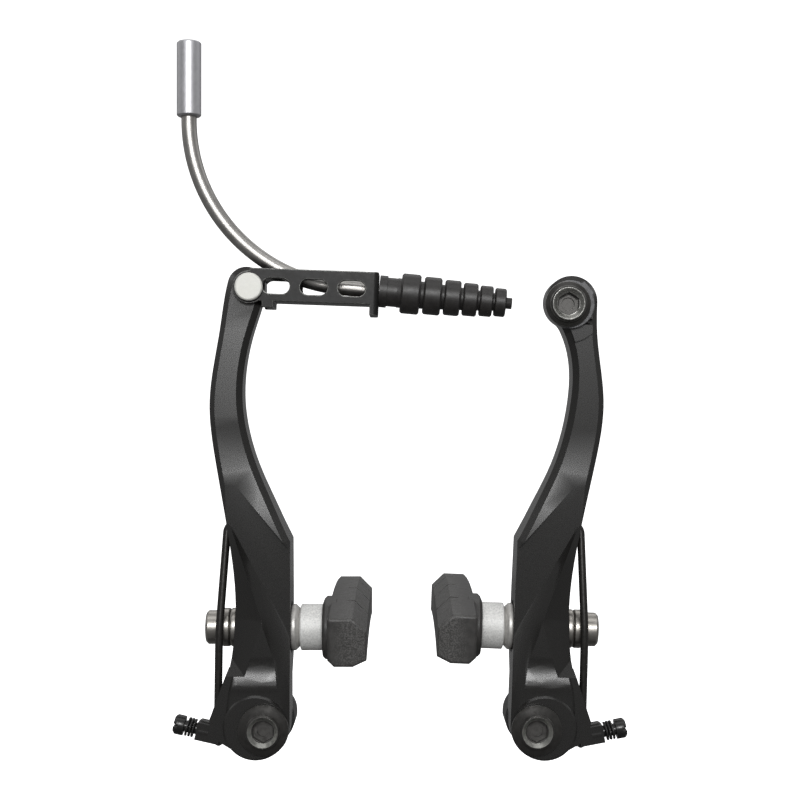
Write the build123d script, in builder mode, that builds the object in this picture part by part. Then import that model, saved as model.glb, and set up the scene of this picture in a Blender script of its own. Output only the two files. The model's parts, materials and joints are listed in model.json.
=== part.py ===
from build123d import *

import os
from math import cos, degrees, radians, sin, sqrt, tan

# A linear-pull rim brake for one bicycle wheel: two arms that swing on the frame's studs, the link
# and lead pipe that bring the cable in, and two rim shoes. All sizes are in millimetres.
# +X is to the right as seen from the bolt heads, +Y points into the bicycle's frame, +Z is up.
# The origin lies midway between the two pivots, in the plane of the shoe posts.
# Each arm is drawn in a frame of its own: its pivot along Y through the origin, +X outwards.

# Fits
press_gap = 0.02
running_gap = 0.05
body_gap = 0.3

# Pivots
stud_pitch = 68.0
stud_diameter = 8.0
stud_clearance = 0.15
right_arm_lean = 2.35
seat_depth = 13.0

# Pivot bushing and fixing bolt
bushing_wall = 1.35
bolt_end_float = 0.3
fixing_thread_diameter = 5.9
fixing_thread_length = 16.0
fixing_flange_diameter = 12.6
fixing_flange_thickness = 1.9
fixing_head_diameter = 8.6
fixing_head_height = 1.0
socket_across_flats = 5.0
socket_depth = 2.6
socket_mouth_diameter = 7.6
socket_drill_diameter = 3.2
socket_drill_depth = 0.5
flange_edge = 0.8
head_edge = 0.45
thread_chamfer = 0.6

# Arm outline, as distances out from and up from the pivot; each share is of the link pin's height
boss_radius = 8.4
boss_up = 0.3
inner_face = 6.3
elbow_up = 46.5
knee_out = -3.9
knee_up = 51.5
shoulder_in = 2.5
shoulder_out = 12.7
shoulder_share = 0.596
bow_out = 10.2
bow_share = 0.74
neck_out = 7.85
neck_share = 0.898
blade_width = 8.4
waist_out = 7.5
waist_up = 28.0
ankle_out = 8.8
ankle_up = 15.0
link_pin_out = 4.2
link_pin_up = 110.8
link_head_radius = 4.8
link_head_shift = 1.0
link_head_rise = 0.6
link_head_lean = 15.0
link_neck_turn = 80.0
anchor_out = 3.8
anchor_drop = 4.3
anchor_boss_radius = 6.55
anchor_boss_shift = 1.4
anchor_boss_rise = 1.0
anchor_neck_turn = 30.0
anchor_pad_radius = 9.6

# Arm depths, forwards and back from the plane of the shoe posts
boss_front = 10.0
boss_step = 0.7
boss_ring_inset = 0.3
boss_rear = 2.5
ridge_front = 7.8
ridge_up = 50.0
leg_front = 8.6
sweep_up = 18.0
blade_front = 4.9
blade_front_share = 0.677
body_rear = 7.0
blade_rear = 4.5
link_head_half = 3.5
link_head_length = 8.3
anchor_front = 6.0
head_step = 3.0
rear_step_up = 12.0
rear_slope = 5.0
edge_bevel = 1.5
boss_bevel = 0.5

# Recessed panel across the front of the arm: a valley line, and the crest line of the leg beside it
panel_front = 6.2
panel_top_out = 12.5
panel_top_up = 66.5
panel_slope = 1.18
crest_apex_out = 8.6
crest_apex_up = 50.5
crest_low_out = -3.3
crest_low_up = 14.0
valley_low_out = -6.4
valley_low_up = 22.6

# Slope of the leg, from the crest and a pointed facet below it back to the arm's outer edge
slope_rear = 5.6
slope_inset = 0.6
slope_top_out = 10.8
slope_top_up = 53.0
facet_top_up = 27.0
facet_foot_out = 4.9
facet_foot_up = 13.0
slope_foot_up = 17.5

# Flare that carries the tension screw, and the screw
flare_out = 13.8
flare_up = 2.0
flare_top_up = 15.5
flare_drop = 4.4
flare_foot = 1.0
screw_angle = 13.0
lug_out = 15.6
lug_up = -1.0
lug_radius = 2.8
lug_length = 3.0
lug_edge = 0.6
screw_front = 5.9
screw_diameter = 2.9
screw_head_diameter = 5.0
screw_head_length = 2.7
screw_tip_out = 13.5
screw_slot = 0.8
screw_slot_depth = 1.1
screw_spring_length = 2.7
screw_spring_wire = 0.7
screw_spring_turns = 2.5

# Return spring wire and its holder
wire_diameter = 2.0
wire_tail_out = 12.0
wire_tail_up = -4.6
wire_bow_out = 11.6
wire_hook_out = 9.9
wire_hook_up = 51.0
wire_hook_front = 2.2
wire_hook_depth = 4.0
wire_bend = 2.6
wire_bow_bend = 60.0
wire_pin_length = 3.5
holder_radius = 6.8
holder_ear_radius = 2.3
holder_ear_out = -4.5
holder_ear_up = -0.8
holder_rear_gap = 0.4

# Shoe post, washers and nut
post_up = 24.0
post_diameter = 6.0
post_slot_travel = 7.0
post_plate_diameter = 10.0
post_plate_thickness = 1.2
washer_bore_clearance = 0.2
cup_diameter = 11.8
cup_thickness = 2.2
inner_cup_edge = 1.0
spacer_diameter = 11.8
spacer_thickness = 6.0
dome_radius = 12.0
dome_edge = 0.3
outer_washer_diameter = 9.8
outer_dome_thickness = 1.7
outer_cup_thickness = 2.2
nut_diameter = 8.6
nut_length = 4.1
nut_socket_depth = 1.8

# Rim shoe, its back boss and its grooves
shoe_boss_thickness = 1.8
shoe_boss_height = 15.0
shoe_boss_length = 22.0
shoe_boss_edge = 0.7
shoe_thickness = 9.6
shoe_height = 12.3
shoe_length = 70.0
shoe_front = 20.4
shoe_rise = 2.0
shoe_chamfer = 3.4
shoe_lower_chamfer = 1.6
shoe_back_edge = 0.5
shoe_lower_back = 1.6
shoe_groove_width = 1.1
shoe_groove_depth = 1.5
shoe_groove_count = 3
rim_radius = 305.0
axle_behind_post = 20.0

# Link
link_gauge = 1.4
link_droop = 2.0
link_top = 4.9
link_bottom = 3.4
link_length = 32.8
link_end_radius = 4.2
link_slot_length = 6.9
link_slot_height = 3.9
link_slot_first = 6.8
link_slot_pitch = 9.6
link_slot_rise = 0.5
link_slot_count = 3
link_stop_at = 3.3
link_stop_length = 3.0
link_stop_drop = 1.6
link_foot_length = 2.2
link_foot_drop = 2.7
link_edge = 0.35
keyhole_radius = 1.8
keyhole_rise = 0.5
keyhole_slot = 2.2
link_pin_diameter = 5.0
link_pin_head_diameter = 7.1
link_pin_head_height = 1.2

# Lead pipe, liner and ferrule
pipe_diameter = 3.95
pipe_bore = 2.2
pipe_bend_radius = 43.2
pipe_droop = 5.4
pipe_straight = 8.9
pipe_shoulder_gap = 2.2
pipe_nose_diameter = 3.0
pipe_nose_length = 7.0
pipe_nose_round = 0.5
liner_bore = 1.7
ferrule_diameter = 6.3
ferrule_length = 19.2
ferrule_web = 0.7
ferrule_clear_of_bend = 0.8
housing_diameter = 5.0
housing_clearance = 0.1
housing_depth = 10.5
ferrule_edge = 0.4

# Boot
boot_gap = 0.5
boot_collar_length = 1.6
boot_collar_diameter = 8.2
boot_neck_length = 2.6
boot_neck_diameter = 7.4
boot_rib_count = 6
boot_first_rib = 5.9
boot_last_rib = 3.4
boot_first_diameter = 10.3
boot_last_diameter = 7.3
boot_groove_share = 0.16
boot_groove_depth = 1.35
boot_tip_length = 1.6
boot_tip_diameter = 2.9
boot_bore = 1.8

# Cable anchor
clamp_washer_thickness = 1.4
clamp_washer_diameter = 12.2
clamp_washer_shift = 0.7
clamp_tab_width = 4.0
clamp_tab_length = 1.6
clamp_tab_reach = 7.0
clamp_tab_angle = 40.0
anchor_flange_diameter = 11.4
anchor_flange_thickness = 1.5
anchor_head_diameter = 9.0
anchor_head_height = 1.3
anchor_thread_length = 9.0
cable_groove_diameter = 1.6


# Derived places
shoulder_up = shoulder_share * link_pin_up
blade_front_up = blade_front_share * link_pin_up
bow_up = bow_share * link_pin_up
neck_up = neck_share * link_pin_up
anchor_up = link_pin_up - anchor_drop
boss_out = boss_radius - inner_face
bushing_bore = stud_diameter + 2 * stud_clearance
bushing_diameter = bushing_bore + 2 * bushing_wall
bushing_front = boss_front + bolt_end_float
base_front = boss_front - boss_step
left_pivot = -stud_pitch / 2
spacer_start = -inner_face - cup_thickness
shoe_back = spacer_start - spacer_thickness
pipe_into_ferrule = ferrule_length - housing_depth - ferrule_web
crest_slope = (crest_apex_up - crest_low_up) / (crest_apex_out - crest_low_out)
nut_start = waist_out + outer_dome_thickness + outer_cup_thickness
far = 200.0


def turned(plane, *profile):
    """A solid turned about the plane's x axis from (distance along, radius) corners."""
    with BuildPart() as piece:
        with BuildSketch(plane):
            with BuildLine():
                Polyline(*profile, close=True)
            make_face()
        revolve(axis=Axis(plane.origin, plane.x_dir))
    return piece.part


def hex_socket(plane, depth):
    """A hex key socket that sinks into the plane."""
    with BuildPart() as tool:
        with BuildSketch(plane):
            RegularPolygon(socket_across_flats / 2, 6, major_radius=False)
        extrude(amount=-depth)
    return tool.part


def flanged_bolt(plane, thread_diameter, thread_length, flange, head):
    """A socket bolt along the plane's x axis; flange and head are (diameter, height)."""
    thread = thread_diameter / 2
    flange_radius = flange[0] / 2
    head_radius = head[0] / 2
    top = -flange[1] - head[1]
    blank = turned(
        plane,
        (top, 0),
        (top, head_radius - head_edge),
        (top + head_edge, head_radius),
        (-flange[1], head_radius),
        (-flange_edge, flange_radius),
        (0, flange_radius),
        (0, thread),
        (thread_length - thread_chamfer, thread),
        (thread_length, thread - thread_chamfer),
        (thread_length, 0),
    )
    crown = Plane(plane.origin + plane.x_dir * top, x_dir=plane.y_dir, z_dir=-plane.x_dir)
    mouth = socket_mouth_diameter / 2
    hex_corner = socket_across_flats / sqrt(3)
    drill = socket_drill_diameter / 2
    with BuildPart() as bolt:
        add(blank)
        add(hex_socket(crown, socket_depth), mode=Mode.SUBTRACT)
        # The mouth of the socket is coned down to the hex, and its floor is drilled
        add(
            turned(
                Plane(crown.origin, x_dir=plane.x_dir, z_dir=plane.z_dir),
                (0, 0),
                (0, mouth),
                (mouth - hex_corner, hex_corner),
                (mouth - hex_corner, drill),
                (socket_depth + socket_drill_depth, drill),
                (socket_depth + socket_drill_depth, 0),
            ),
            mode=Mode.SUBTRACT,
        )
    return bolt.part


def along_pivot(out, up, depth):
    """A plane whose x axis runs into the frame along a pivot, starting at the depth."""
    return Plane((out, depth, up), x_dir=(0, 1, 0), z_dir=(1, 0, 0))


# Plane of the posts: x runs outwards along the shoe post
post_axis = Plane((0, 0, post_up), x_dir=(1, 0, 0), z_dir=(0, -1, 0))

# Plane of the tension screw: x runs outwards along the screw, from the middle of its lug
screw_axis = Plane(
    (lug_out, -screw_front, lug_up),
    x_dir=(cos(radians(screw_angle)), 0, sin(radians(screw_angle))),
    z_dir=(0, -1, 0),
)

# Bends of the return spring: the bow beside the nut, and the hook in the arm
wire_bow = Vector(wire_bow_out, -screw_front, post_up)
wire_hook = Vector(wire_hook_out, -wire_hook_front, wire_hook_up)


# Arm
def arm_side_profile(top_front, top_rear, head_start, slope_start):
    """An arm seen from its side; its front slopes to the head between the two given heights."""
    top = link_pin_up + anchor_up
    with BuildPart() as slab:
        with BuildSketch(Plane.YZ.offset(-far / 2)):
            with BuildLine():
                Polyline(
                    (-top_front, top),
                    (-top_front, head_start),
                    (-blade_front, slope_start),
                    (-blade_front, blade_front_up),
                )
                Spline(
                    (-blade_front, blade_front_up),
                    (-ridge_front, ridge_up),
                    (-leg_front, sweep_up),
                    tangents=((0, -1), (0, -1)),
                )
                Spline(
                    (-leg_front, sweep_up),
                    (-base_front, boss_up + boss_radius),
                    tangents=((0, -1), (0, -1)),
                )
                Polyline(
                    (-base_front, boss_up + boss_radius),
                    (-base_front, -2 * boss_radius),
                    (boss_rear, -2 * boss_radius),
                    (boss_rear, rear_step_up),
                    (body_rear, rear_step_up + rear_slope),
                    (body_rear, post_up + post_slot_travel + post_diameter / 2),
                    (blade_rear, shoulder_up),
                    (blade_rear, slope_start),
                    (top_rear, head_start),
                    (top_rear, top),
                    (-top_front, top),
                )
            make_face()
        extrude(amount=far)
    return slab.part


def arm_blank(head_out, head_up, head_radius, head_lean, neck_turn, side_profile, plain_tops):
    """The arm's outline carried through its depth, with bevelled fronts except for the plain ones on top.

    The outer edge runs off the head at head_lean above level, the inner one at neck_turn from its foot.
    """
    half_blade = blade_width / 2
    lean = radians(head_lean)
    turn = radians(neck_turn)
    head_side = (head_out + head_radius * cos(lean), head_up + head_radius * sin(lean))
    with BuildPart() as blank:
        with BuildSketch(Plane.XZ.offset(-body_rear)):
            with BuildLine():
                outer = Spline(
                    head_side,
                    (neck_out + half_blade, neck_up),
                    (bow_out + half_blade, bow_up),
                    (shoulder_out, shoulder_up),
                    (waist_out, waist_up),
                    (ankle_out, ankle_up),
                    (boss_out + boss_radius, boss_up),
                    tangents=((sin(lean), -cos(lean)), (0, -1)),
                )
                ThreePointArc(outer @ 1, (boss_out, boss_up - boss_radius), (-inner_face, boss_up))
                Polyline((-inner_face, boss_up), (-inner_face, elbow_up), (knee_out, knee_up))
                inner = Spline(
                    (knee_out, knee_up),
                    (shoulder_in, shoulder_up),
                    (bow_out - half_blade, bow_up),
                    (neck_out - half_blade, neck_up),
                    (head_out - head_radius * sin(turn), head_up - head_radius * cos(turn)),
                    tangents=((shoulder_in - knee_out, shoulder_up - knee_up), (-cos(turn), sin(turn))),
                )
                Polyline(inner @ 1, (head_out, head_up), outer @ 0)
            make_face()
            with Locations((head_out, head_up)):
                Circle(head_radius)
        extrude(amount=body_rear + boss_front)
        add(side_profile, mode=Mode.INTERSECT)
        fronts = blank.faces().filter_by(lambda face: face.normal_at().Y < -cos(radians(45)))
        bevelled = fronts.sort_by(Axis.Z)[: len(fronts) - plain_tops]
        chamfer(bevelled.edges().filter_by(Axis.X, reverse=True), edge_bevel)
    return blank.part


def panel_tool():
    """The cutter of the recessed panel: its floor follows the valley, its mouth follows the crest."""
    reach = 4 * inner_face
    inner_end = -inner_face - reach / 2
    upper_inner = panel_top_up - panel_slope * (panel_top_out - inner_end)
    upper_outer = panel_top_up + panel_slope * reach
    valley_slope = (crest_apex_up - valley_low_up) / (crest_apex_out - valley_low_out)
    apex = (crest_apex_out + reach, crest_apex_up + crest_slope * reach / 4)
    valley_inner = valley_low_up + valley_slope * (inner_end - valley_low_out)
    crest_inner = crest_low_up + crest_slope * (inner_end - crest_low_out)
    mouth = boss_front + boss_bevel
    beyond = (mouth - panel_front) / (leg_front - panel_front)
    with BuildPart() as tool:
        with BuildSketch(Plane.XZ.offset(panel_front)):
            with BuildLine():
                Polyline(
                    (panel_top_out + reach, upper_outer),
                    (inner_end, upper_inner),
                    (inner_end, valley_inner),
                    (crest_apex_out, crest_apex_up),
                    apex,
                    close=True,
                )
            make_face()
        with BuildSketch(Plane.XZ.offset(mouth)):
            with BuildLine():
                Polyline(
                    (panel_top_out + reach, upper_outer + boss_bevel),
                    (inner_end, upper_inner + boss_bevel),
                    (inner_end, valley_inner + (crest_inner - valley_inner) * beyond),
                    (crest_apex_out, crest_apex_up),
                    apex,
                    close=True,
                )
            make_face()
        loft(ruled=True)
    return tool.part


def slope_tool():
    """The cutter of the leg's outer slope, which falls from the crest to the arm's outer edge."""
    facet_top_out = crest_low_out + (facet_top_up - crest_low_up) / crest_slope - slope_inset
    front = (
        (crest_apex_out - slope_inset, crest_apex_up),
        (facet_top_out, facet_top_up),
        (facet_foot_out, facet_foot_up),
        (far, facet_foot_up),
        (far, crest_apex_up),
    )
    with BuildPart() as tool:
        with BuildSketch(Plane.XZ.offset(slope_rear)):
            with BuildLine():
                Polyline(
                    (slope_top_out, slope_top_up),
                    (waist_out, facet_top_up),
                    (ankle_out, slope_foot_up),
                    (far, slope_foot_up),
                    (far, slope_top_up),
                    close=True,
                )
            make_face()
        with BuildSketch(Plane.XZ.offset(leg_front)):
            with BuildLine():
                Polyline(*front, close=True)
            make_face()
        loft(ruled=True)
        with BuildSketch(Plane.XZ.offset(leg_front)):
            with BuildLine():
                Polyline(*front, close=True)
            make_face()
        extrude(amount=boss_front - leg_front)
    return tool.part


def make_arm(blank, hole_out, hole_up, hole_radius):
    """A forged arm cut from its blank, with its bores, slot and screw lug."""
    flare_low = (boss_out + boss_radius * cos(radians(40)), boss_up - boss_radius * sin(radians(40)))
    tongue_front = screw_front + wire_diameter / 2 + body_gap
    ring_radius = boss_radius - boss_ring_inset
    boss_ring = turned(
        along_pivot(boss_out, boss_up, -boss_front),
        (0, 0),
        (0, ring_radius - boss_bevel),
        (boss_bevel, ring_radius),
        (boss_front, ring_radius),
        (boss_front, 0),
    )
    with BuildPart() as arm:
        add(blank)
        add(panel_tool(), mode=Mode.SUBTRACT)
        with BuildSketch(Plane.XZ.offset(tongue_front)):
            with BuildLine():
                Polyline(
                    (boss_out, flare_top_up),
                    (ankle_out, flare_top_up),
                    (flare_out, flare_up),
                    (flare_out - flare_foot, flare_up - flare_drop),
                    flare_low,
                    (boss_out, boss_up),
                    close=True,
                )
            make_face()
        extrude(amount=leg_front - tongue_front)
        add(slope_tool(), mode=Mode.SUBTRACT)
        add(boss_ring)
        add(
            turned(
                screw_axis,
                (-lug_length / 2, 0),
                (-lug_length / 2, lug_radius),
                (lug_length / 2 - lug_edge, lug_radius),
                (lug_length / 2, lug_radius - lug_edge),
                (lug_length / 2, 0),
            )
        )
        # A tongue in front of the spring's wire joins the lug to the flare
        with BuildSketch(screw_axis.offset(tongue_front - screw_front)):
            with Locations((-lug_length / 2, 0)):
                Rectangle(2 * lug_length, 2 * (lug_radius - lug_edge))
        extrude(amount=leg_front - tongue_front)
        # Pivot bore, post slot, washer seat, screw hole and spring hole
        with BuildSketch(Plane.XZ.offset(-far / 2)):
            Circle(bushing_diameter / 2 + running_gap)
            with Locations((hole_out, hole_up)):
                Circle(hole_radius)
        extrude(amount=far, mode=Mode.SUBTRACT)
        with BuildSketch(Plane.YZ.offset(-far / 2)):
            with Locations((0, post_up)):
                SlotCenterToCenter(
                    post_slot_travel, post_diameter + 2 * washer_bore_clearance, rotation=90
                )
        extrude(amount=far, mode=Mode.SUBTRACT)
        with BuildSketch(Plane.YZ.offset(waist_out)):
            with Locations((0, post_up)):
                Circle(outer_washer_diameter / 2 + body_gap)
        extrude(amount=far / 10, mode=Mode.SUBTRACT)
        add(
            turned(
                screw_axis,
                (-lug_length, 0),
                (-lug_length, screw_diameter / 2 + running_gap),
                (far / 10, screw_diameter / 2 + running_gap),
                (far / 10, 0),
            ),
            mode=Mode.SUBTRACT,
        )
        with BuildSketch(Plane.YZ.offset(wire_hook_out - wire_hook_depth - body_gap)):
            with Locations((-wire_hook_front, wire_hook_up - wire_bend / 2)):
                SlotCenterToCenter(wire_bend, wire_diameter + 2 * body_gap, rotation=90)
        extrude(amount=far / 10, mode=Mode.SUBTRACT)
        # A groove down the arm's side, open outwards, lets the spring's leg lie behind the front lip
        with BuildSketch(Plane(wire_hook, x_dir=(1, 0, 0), z_dir=wire_bow - wire_hook)):
            Circle(wire_diameter / 2 + body_gap)
            Rectangle(far / 10, wire_diameter + 2 * body_gap, align=(Align.MIN, Align.CENTER))
        extrude(amount=(wire_bow - wire_hook).length, mode=Mode.SUBTRACT)
    return arm.part


link_head_start = link_pin_up - link_head_length
left_blank = arm_blank(
    link_pin_out + link_head_shift,
    link_pin_up + link_head_rise,
    link_head_radius,
    link_head_lean,
    link_neck_turn,
    arm_side_profile(link_head_half, link_head_half, link_head_start, blade_front_up + head_step),
    plain_tops=1,
)
flat_blank = arm_blank(
    anchor_out + anchor_boss_shift,
    anchor_up + anchor_boss_rise,
    anchor_boss_radius,
    0,
    anchor_neck_turn,
    arm_side_profile(blade_front, blade_rear, link_head_start, blade_front_up + head_step),
    plain_tops=0,
)
# The right arm's head is raised by a pad whose lower edge is an arc about the anchor
pad_height = anchor_front - blade_front
with BuildPart() as right_blank:
    extrude(flat_blank.faces().filter_by(Plane.XZ).sort_by(Axis.Z)[-1], amount=pad_height)
    with BuildSketch(Plane.XZ.offset(blade_front)):
        with Locations((anchor_out, anchor_up)):
            Circle(anchor_pad_radius)
    extrude(amount=pad_height, mode=Mode.INTERSECT)
    add(flat_blank)
anchor_thread = fixing_thread_diameter / 2 + press_gap
arm_in_frame = {
    "left": make_arm(left_blank, link_pin_out, link_pin_up, link_pin_diameter / 2 + press_gap),
    "right": make_arm(right_blank.part, anchor_out, anchor_up, anchor_thread),
}

# The right arm's anchor face: x runs along the clamp washer's tab
anchor_face = Plane(
    (anchor_out, -anchor_front, anchor_up),
    x_dir=(cos(radians(clamp_tab_angle)), 0, sin(radians(clamp_tab_angle))),
    z_dir=(0, -1, 0),
)
tab_middle = clamp_tab_reach - clamp_washer_thickness / 2

# The cable lies in a groove across that face, below the bolt; a notch keeps the tab from turning
cable_up = anchor_up - (fixing_thread_diameter + cable_groove_diameter) / 2 - body_gap
with BuildPart() as right_arm_grooved:
    add(arm_in_frame["right"])
    with BuildSketch(Plane.YZ.offset(anchor_out - 2 * anchor_boss_radius)):
        with Locations((-anchor_front, cable_up)):
            Circle(cable_groove_diameter / 2)
    extrude(amount=4 * anchor_boss_radius, mode=Mode.SUBTRACT)
    with BuildSketch(anchor_face):
        with Locations((tab_middle + clamp_tab_reach / 2, 0)):
            Rectangle(
                clamp_tab_reach + clamp_washer_thickness + 2 * body_gap, clamp_tab_width + 2 * body_gap
            )
    extrude(amount=-clamp_tab_length - body_gap, mode=Mode.SUBTRACT)
arm_in_frame["right"] = right_arm_grooved.part


# Pivot bushing: a sleeve from the bolt's flange to the frame's boss
pivot_front = along_pivot(0, 0, -bushing_front)
pivot_bushing = turned(
    pivot_front,
    (0, bushing_bore / 2),
    (bushing_front + seat_depth, bushing_bore / 2),
    (bushing_front + seat_depth, bushing_diameter / 2),
    (0, bushing_diameter / 2),
)

fixing_bolt = flanged_bolt(
    pivot_front,
    fixing_thread_diameter,
    fixing_thread_length,
    (fixing_flange_diameter, fixing_flange_thickness),
    (fixing_head_diameter, fixing_head_height),
)


# Spring holder: a moulded plate round the bushing, with an arm that grips the spring's tail
with BuildPart() as spring_holder:
    with BuildSketch(Plane.XZ.offset(holder_rear_gap - seat_depth)):
        Circle(holder_radius)
        with Locations((wire_tail_out, wire_tail_up)):
            Circle(holder_ear_radius)
        make_hull()
        with Locations((holder_ear_out, holder_ear_up)):
            Circle(holder_ear_radius)
        Circle(bushing_diameter / 2 + press_gap, mode=Mode.SUBTRACT)
        with Locations((wire_tail_out, wire_tail_up)):
            Circle(wire_diameter / 2 + press_gap, mode=Mode.SUBTRACT)
    extrude(amount=seat_depth - holder_rear_gap - boss_rear - body_gap)


# Return spring: the tail is the stop pin, the leg bows past the nut, the hook enters the arm
with BuildPart() as return_spring:
    with BuildLine():
        wire_path = FilletPolyline(
            (wire_tail_out, seat_depth + wire_pin_length, wire_tail_up),
            (wire_tail_out, -screw_front, wire_tail_up),
            wire_bow,
            wire_hook,
            wire_hook - Vector(wire_hook_depth, 0, 0),
            radius=[wire_bend, wire_bow_bend, wire_bend],
        )
    with BuildSketch(Plane(wire_path @ 0, z_dir=wire_path % 0)):
        Circle(wire_diameter / 2)
    sweep(path=wire_path)


# Tension screw and the coil under its head
screw_tip = (screw_tip_out - lug_out) / cos(radians(screw_angle))
screw_head_start = lug_length / 2 + screw_spring_length + 2 * body_gap
screw_head_end = screw_head_start + screw_head_length
screw_radius = screw_diameter / 2
screw_head_radius = screw_head_diameter / 2
with BuildPart() as tension_screw:
    add(
        turned(
            screw_axis,
            (screw_tip, 0),
            (screw_tip, screw_radius - thread_chamfer),
            (screw_tip + thread_chamfer, screw_radius),
            (screw_head_start, screw_radius),
            (screw_head_start, screw_head_radius),
            (screw_head_end - thread_chamfer, screw_head_radius),
            (screw_head_end, screw_head_radius - thread_chamfer),
            (screw_head_end, 0),
        )
    )
    screw_end = Plane(
        screw_axis.origin + screw_axis.x_dir * screw_head_end,
        x_dir=screw_axis.y_dir,
        z_dir=screw_axis.x_dir,
    )
    with BuildSketch(screw_end):
        Rectangle(screw_slot, screw_head_diameter)
        Rectangle(screw_head_diameter, screw_slot)
    extrude(amount=-screw_slot_depth, mode=Mode.SUBTRACT)

coil_start = lug_length / 2 + body_gap + screw_spring_wire / 2
coil_radius = screw_radius + body_gap + screw_spring_wire / 2
with BuildPart() as screw_spring:
    with BuildLine():
        coil_path = Helix(
            pitch=(screw_spring_length - screw_spring_wire) / screw_spring_turns,
            height=screw_spring_length - screw_spring_wire,
            radius=coil_radius,
            center=screw_axis.origin + screw_axis.x_dir * coil_start,
            direction=screw_axis.x_dir,
        )
    with BuildSketch(Plane(coil_path @ 0, z_dir=coil_path % 0)):
        RegularPolygon(screw_spring_wire / 2, 6)
    sweep(path=coil_path, is_frenet=True)


# Washers: each pair has a domed face in a cupped one, so that the shoe can be set at any angle
def washer_pair(start, rim, end, dome_diameter, cup_diameter, cup_edge):
    """A domed and a cupped washer that meet at the rim, along the post."""
    bore = post_diameter / 2 + washer_bore_clearance
    edge = cup_diameter / 2 - cup_edge
    centre = rim - sqrt(dome_radius**2 - edge**2)
    crown = centre + sqrt(dome_radius**2 - bore**2)
    middle = (bore + edge) / 2
    crown_middle = centre + sqrt(dome_radius**2 - middle**2)
    with BuildPart() as dome:
        with BuildSketch(post_axis):
            with BuildLine():
                ThreePointArc((crown, bore), (crown_middle, middle), (rim, edge))
                Polyline(
                    (rim, edge),
                    (rim - dome_edge, dome_diameter / 2),
                    (start + dome_edge, dome_diameter / 2),
                    (start, dome_diameter / 2 - dome_edge),
                    (start, bore),
                    (crown, bore),
                )
            make_face()
        revolve(axis=Axis(post_axis.origin, post_axis.x_dir))
    with BuildPart() as cup:
        with BuildSketch(post_axis):
            with BuildLine():
                ThreePointArc(
                    (crown + running_gap, bore),
                    (crown_middle + running_gap, middle),
                    (rim + running_gap, edge),
                )
                Polyline(
                    (rim + running_gap, edge),
                    (rim + running_gap + cup_edge, cup_diameter / 2),
                    (end - dome_edge, cup_diameter / 2),
                    (end, cup_diameter / 2 - dome_edge),
                    (end, bore),
                    (crown + running_gap, bore),
                )
            make_face()
        revolve(axis=Axis(post_axis.origin, post_axis.x_dir))
    return dome.part, cup.part


inner_dome_washer, inner_cup_washer = washer_pair(
    shoe_back, spacer_start, -inner_face, spacer_diameter, cup_diameter, inner_cup_edge
)
outer_dome_washer, outer_cup_washer = washer_pair(
    waist_out,
    waist_out + outer_dome_thickness,
    nut_start,
    outer_washer_diameter,
    outer_washer_diameter,
    dome_edge,
)


# Shoe post: a threaded post on a plate that is moulded into the shoe
post_radius = post_diameter / 2
plate_radius = post_plate_diameter / 2
plate_start = shoe_back - shoe_boss_thickness - 2 * post_plate_thickness
post_end = nut_start + nut_length - nut_socket_depth - body_gap


def post_solid(gap):
    """The post and its plate, grown by a gap all round."""
    return turned(
        post_axis,
        (plate_start - gap, 0),
        (plate_start - gap, plate_radius + gap),
        (plate_start + post_plate_thickness + gap, plate_radius + gap),
        (plate_start + post_plate_thickness + gap, post_radius + gap),
        (post_end - thread_chamfer, post_radius + gap),
        (post_end, post_radius + gap - thread_chamfer),
        (post_end, 0),
    )


shoe_post = post_solid(0)

# Shoe nut: a sleeve nut, threaded from the arm's side and driven by a hex key from outside
nut_end = nut_start + nut_length
nut_radius = nut_diameter / 2
with BuildPart() as shoe_nut:
    add(
        turned(
            post_axis,
            (nut_start, post_radius + press_gap),
            (nut_start, nut_radius),
            (nut_end - thread_chamfer, nut_radius),
            (nut_end, nut_radius - thread_chamfer),
            (nut_end, 0),
            (post_end + body_gap, 0),
            (post_end + body_gap, post_radius + press_gap),
        )
    )
    nut_face = Plane((nut_end, 0, post_up), x_dir=(0, 1, 0), z_dir=(1, 0, 0))
    add(hex_socket(nut_face, nut_socket_depth), mode=Mode.SUBTRACT)


# Rim shoe: its section is carried round the wheel's axle, so it follows the rim
shoe_inner = shoe_back - shoe_boss_thickness
shoe_face = shoe_inner - shoe_thickness
axle_up = post_up + shoe_rise - rim_radius
axle_line = Axis((0, axle_behind_post, axle_up), (-1, 0, 0))
shoe_start = degrees((shoe_front + axle_behind_post) / rim_radius)
shoe_sweep = degrees(shoe_length / rim_radius)
shoe_low = rim_radius - shoe_height / 2
shoe_high = rim_radius + shoe_height / 2


def axle_plane(angle):
    """The plane through the wheel's axle, leaning forwards by an angle; y is the radius."""
    lean = radians(angle)
    return Plane(
        (0, axle_behind_post, axle_up), x_dir=(1, 0, 0), z_dir=(0, -cos(lean), -sin(lean))
    )


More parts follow.
